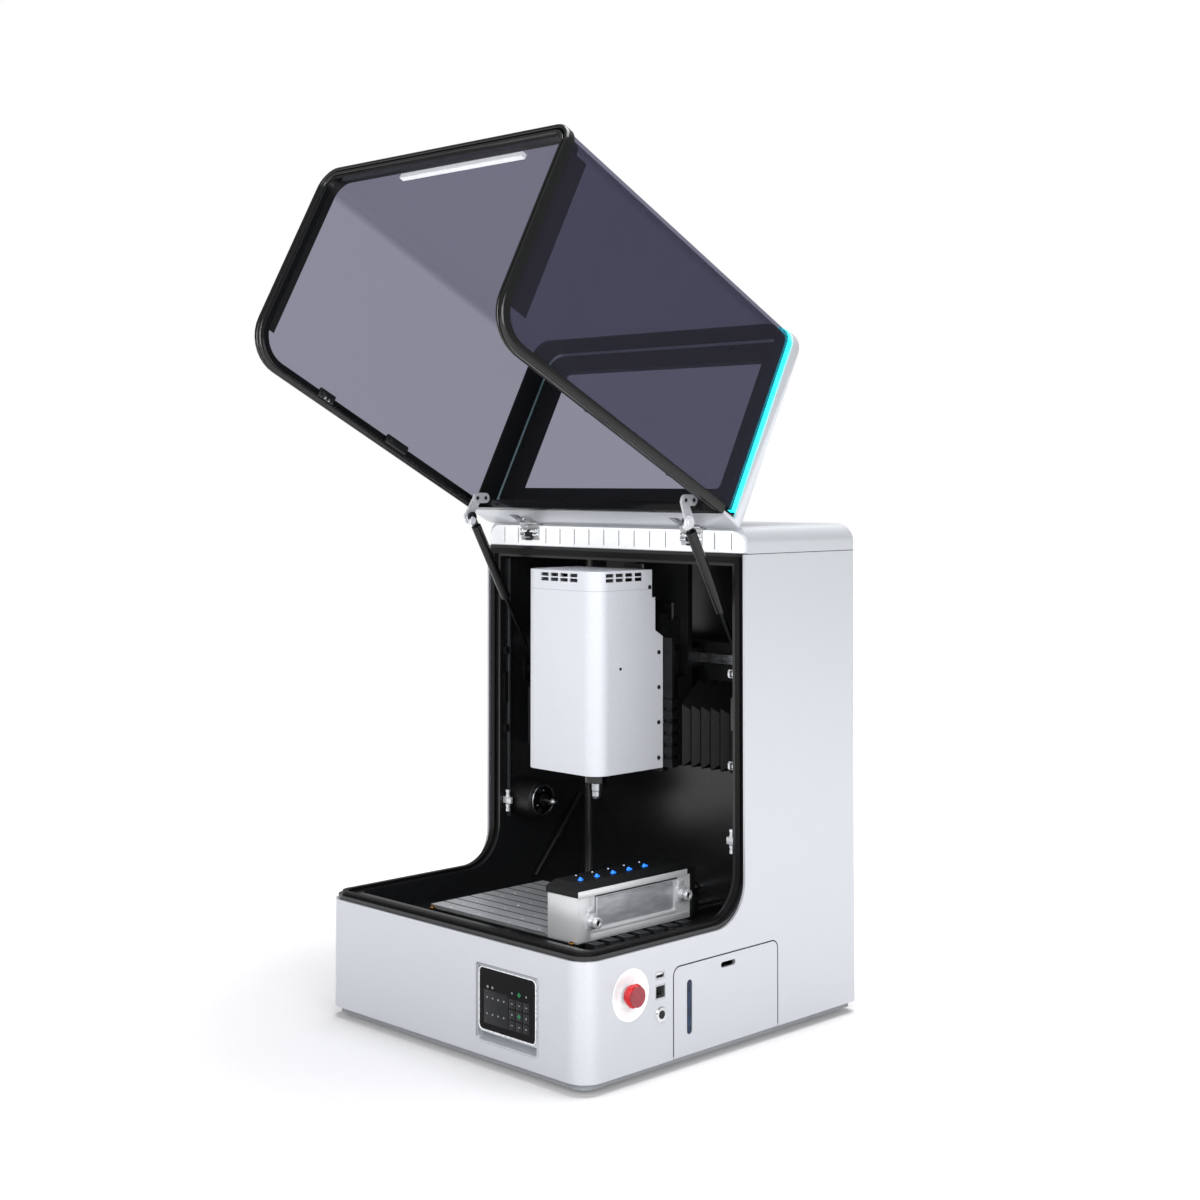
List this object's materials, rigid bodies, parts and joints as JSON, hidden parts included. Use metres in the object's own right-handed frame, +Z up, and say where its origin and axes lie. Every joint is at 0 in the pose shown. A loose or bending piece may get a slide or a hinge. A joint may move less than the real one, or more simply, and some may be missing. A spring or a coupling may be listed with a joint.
{
  "type": "benchtop cnc mill",
  "caption": "Enclosed benchtop milling machine with a lift-up clear hood, shown open: gantry head, slotted table with tool magazine, touch screen, stop button and coolant drawer.",
  "frame": {"origin": "middle of the housing's footprint, on the bench under the rubber feet", "axes": "+X to the right seen from the front, +Y to the back, +Z up"},
  "size_m": [0.4643, 0.6091, 1.0604],
  "materials": {
    "grey_housing": "light grey powder coat, fine texture",
    "cover_white": "white moulding, satin",
    "black_powder": "black powder coat, satin",
    "foot_rubber": "soft black rubber",
    "hood_black": "black frame, satin",
    "seal_rubber": "black foam seal",
    "black_plastic": "black moulding, matt",
    "screen_glass": "dark glass over a dark display",
    "stop_white": "white moulded dish",
    "socket_steel": "plated sheet",
    "board_green": "circuit board and metal case",
    "steel_zinc": "zinc-plated steel",
    "tube_grey": "grey tube",
    "chain_black": "black cable chain",
    "steel_bright": "ground steel",
    "motor_black": "black motor housing",
    "bellows_black": "black coated cloth",
    "stem_grey": "grey moulding",
    "stop_red": "red moulding",
    "tank_plastic": "pale plastic",
    "clear_window": "clear window",
    "head_grey": "light grey enamel, satin",
    "chrome_bright": "polished chrome",
    "slat_alu": "machined aluminium, anodised",
    "block_grey": "light grey anodised block",
    "lamp_blue": "blue translucent lamp",
    "hood_pane": "tinted clear pane",
    "roof_silver": "silver lacquer",
    "strip_cyan": "cyan light strip",
    "bar_white": "white moulding"
  },
  "bodies": {
    "machine": {"outer_shell": "grey_housing", "top_cover": "cover_white", "base_plate": "black_powder", "feet": "foot_rubber", "chamber_liner": "black_powder", "rim_flange": "hood_black", "rim_gasket": "seal_rubber", "header_strip": "cover_white", "rear_panel": "grey_housing", "power_inlet": "black_plastic", "screen_bezel": "grey_housing", "touch_screen": "screen_glass", "stop_collar": "stop_white", "port_sockets": "socket_steel", "electronics": "board_green", "hinge_cups": "steel_zinc", "rim_clips": "black_plastic", "strut_studs": "black_powder", "wall_hub": "black_plastic", "coolant_tube": "tube_grey", "cable_chain": "chain_black", "gantry_beam": "black_powder", "linear_rails": "steel_bright", "axis_motors": "motor_black", "bellows": "bellows_black"},
    "power_rocker": {"power_rocker": "black_plastic"},
    "stop_stem": {"stop_stem": "stem_grey"},
    "stop_head": {"stop_head": "stop_red"},
    "tank_drawer": {"tank_door": "grey_housing", "coolant_tank": "tank_plastic", "level_window": "clear_window"},
    "hub_knob": {"hub_knob": "steel_bright"},
    "x_screw": {"x_screw": "steel_bright"},
    "y_screw": {"y_screw": "steel_bright"},
    "x_carriage": {"x_carriage": "black_powder", "z_motor": "motor_black"},
    "z_screw": {"z_screw": "steel_bright"},
    "z_head": {"head_plate": "black_powder", "head_cover": "head_grey", "spindle_motor": "motor_black"},
    "spindle": {"spindle_nose": "chrome_bright"},
    "table": {"table_base": "black_powder", "table_slats": "slat_alu", "magazine_block": "block_grey", "magazine_cover": "black_plastic", "magazine_fittings": "chrome_bright", "magazine_lights": "lamp_blue"},
    "hood": {"hood_glass": "hood_pane", "hood_rim": "hood_black", "roof_cap": "roof_silver", "roof_frame": "hood_black", "roof_glass": "hood_pane", "light_strip": "strip_cyan", "hood_bar": "bar_white", "link_brackets": "steel_zinc", "hinge_arms": "steel_zinc"},
    "strut_cylinder_left": {"strut_cylinder_left": "hood_black"},
    "strut_cylinder_right": {"strut_cylinder_right": "hood_black"},
    "strut_rod_left": {"strut_rod_left": "steel_bright"},
    "strut_rod_right": {"strut_rod_right": "steel_bright"}
  },
  "joints": [
    {"name": "hood_hinge", "type": "hinge", "parent": "machine", "child": "hood", "pos_m": [0, 0.0228, 0.6117], "axis": [1, 0, 0], "range_deg": [0, 117.6]},
    {"name": "strut_tilt_left", "type": "hinge", "parent": "hood", "child": "strut_cylinder_left", "pos_m": [-0.19, -0.03699, 0.61994], "axis": [1, 0, 0], "range_deg": [-132.6, 0]},
    {"name": "strut_slide_left", "type": "slide", "parent": "strut_cylinder_left", "child": "strut_rod_left", "axis": [0, -0.4899, 0.8718], "range_m": [0, 0.09114]},
    {"name": "strut_tilt_right", "type": "hinge", "parent": "hood", "child": "strut_cylinder_right", "pos_m": [0.19, -0.03699, 0.61994], "axis": [1, 0, 0], "range_deg": [-132.6, 0]},
    {"name": "strut_slide_right", "type": "slide", "parent": "strut_cylinder_right", "child": "strut_rod_right", "axis": [0, -0.4899, 0.8718], "range_m": [0, 0.09114]},
    {"name": "x_slide", "type": "slide", "parent": "machine", "child": "x_carriage", "axis": [1, 0, 0], "range_m": [-0.07, 0.08], "deforming": ["bellows"]},
    {"name": "z_slide", "type": "slide", "parent": "x_carriage", "child": "z_head", "axis": [0, 0, 1], "range_m": [-0.1, 0.006]},
    {"name": "y_slide", "type": "slide", "parent": "machine", "child": "table", "axis": [0, 1, 0], "range_m": [-0.04, 0.12]},
    {"name": "spindle_spin", "type": "hinge", "parent": "z_head", "child": "spindle", "pos_m": [0.005, 0, 0.28], "axis": [0, 0, 1], "continuous": true},
    {"name": "x_screw_turn", "type": "hinge", "parent": "machine", "child": "x_screw", "pos_m": [0, 0.112, 0.352], "axis": [1, 0, 0], "range_deg": [-2520, 2880]},
    {"name": "y_screw_turn", "type": "hinge", "parent": "machine", "child": "y_screw", "pos_m": [0, 0, 0.127], "axis": [0, 1, 0], "range_deg": [-1440, 4320]},
    {"name": "z_screw_turn", "type": "hinge", "parent": "x_carriage", "child": "z_screw", "pos_m": [0.005, 0.084, 0.4], "axis": [0, 0, 1], "range_deg": [-3600, 216]},
    {"name": "stop_push", "type": "slide", "parent": "machine", "child": "stop_stem", "axis": [-1, 0, 0], "range_m": [0, 0.004], "stiffness_N_per_m": 150, "springref_m": -0.001},
    {"name": "stop_twist", "type": "hinge", "parent": "stop_stem", "child": "stop_head", "pos_m": [0.23, -0.1723, 0.1], "axis": [1, 0, 0], "range_deg": [0, 45], "stiffness_Nm_per_rad": 0.01},
    {"name": "tank_slide", "type": "slide", "parent": "machine", "child": "tank_drawer", "axis": [1, 0, 0], "range_m": [0, 0.15]},
    {"name": "hub_turn", "type": "hinge", "parent": "machine", "child": "hub_knob", "pos_m": [-0.15, 0.066, 0.238], "axis": [1, 0, 0], "continuous": true},
    {"name": "rocker_tip", "type": "hinge", "parent": "machine", "child": "power_rocker", "pos_m": [-0.12, 0.2415, 0.108], "axis": [1, 0, 0], "range_deg": [0, 12]}
  ],
  "couplings": [
    {"joint": "strut_tilt_left", "follows": "hood_hinge", "ratio": -1.1258},
    {"joint": "strut_slide_left", "follows": "hood_hinge", "m_per_rad": 0.044357},
    {"joint": "strut_tilt_right", "follows": "hood_hinge", "ratio": -1.1258},
    {"joint": "strut_slide_right", "follows": "hood_hinge", "m_per_rad": 0.044357},
    {"joint": "x_screw_turn", "follows": "x_slide", "rad_per_m": 628.32},
    {"joint": "y_screw_turn", "follows": "y_slide", "rad_per_m": 628.32},
    {"joint": "z_screw_turn", "follows": "z_slide", "rad_per_m": 628.32}
  ]
}
